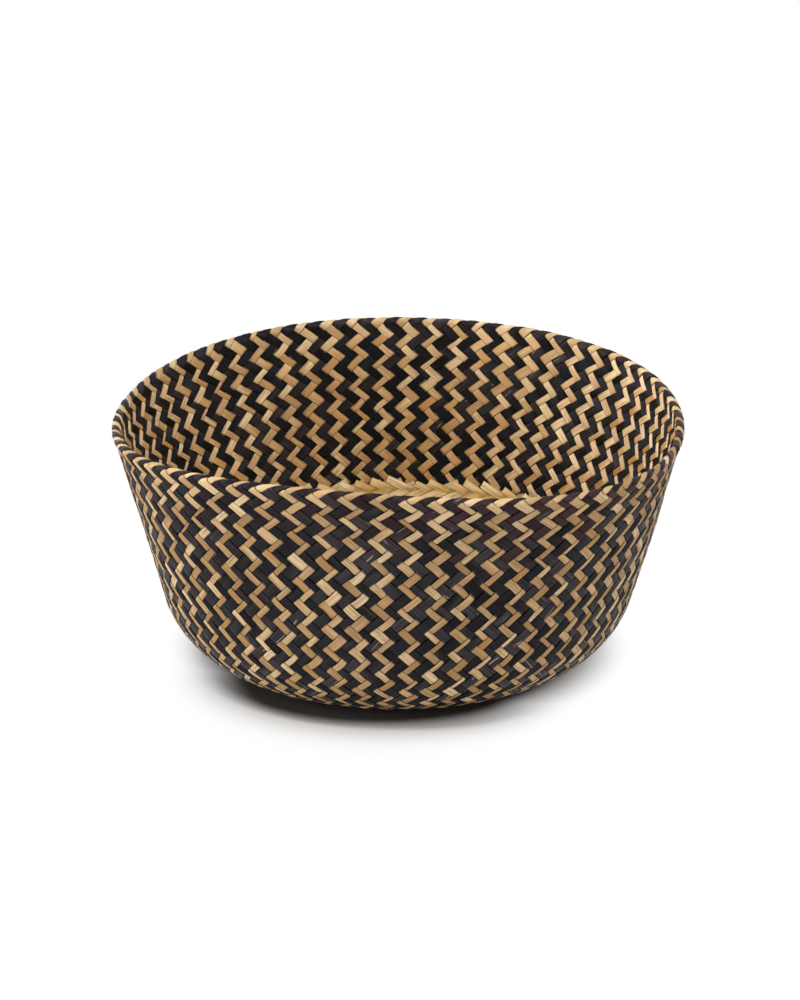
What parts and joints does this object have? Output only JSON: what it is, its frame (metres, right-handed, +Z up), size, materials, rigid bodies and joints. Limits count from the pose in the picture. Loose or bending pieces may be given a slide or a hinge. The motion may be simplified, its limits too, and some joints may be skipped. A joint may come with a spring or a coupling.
{
  "type": "woven basket",
  "caption": "Round open basket plaited from natural and black sedge strips, with a double wall folded over a soft wavy rim, for holding household things.",
  "frame": {"origin": "on the floor, under the middle of the base", "axes": "+Z up out of the mouth, the pictured front faces -Y"},
  "size_m": [0.3462, 0.3462, 0.1631],
  "materials": {
    "natural_sedge": "dried, undyed flat plant strips, satin",
    "black_sedge": "dried flat plant strips dyed black, satin",
    "wall_sedge": "natural and black flat plant strips in turn, plaited in a twill"
  },
  "bodies": {
    "root": {"outer_wall_right_strips": "wall_sedge", "outer_wall_left_strips": "wall_sedge", "inner_wall_left_strips": "wall_sedge", "inner_wall_right_strips": "wall_sedge", "rim_left_strips": "black_sedge", "rim_right_strips": "black_sedge", "base_right_strips": "natural_sedge", "base_left_strips": "natural_sedge"}
  },
  "joints": []
}
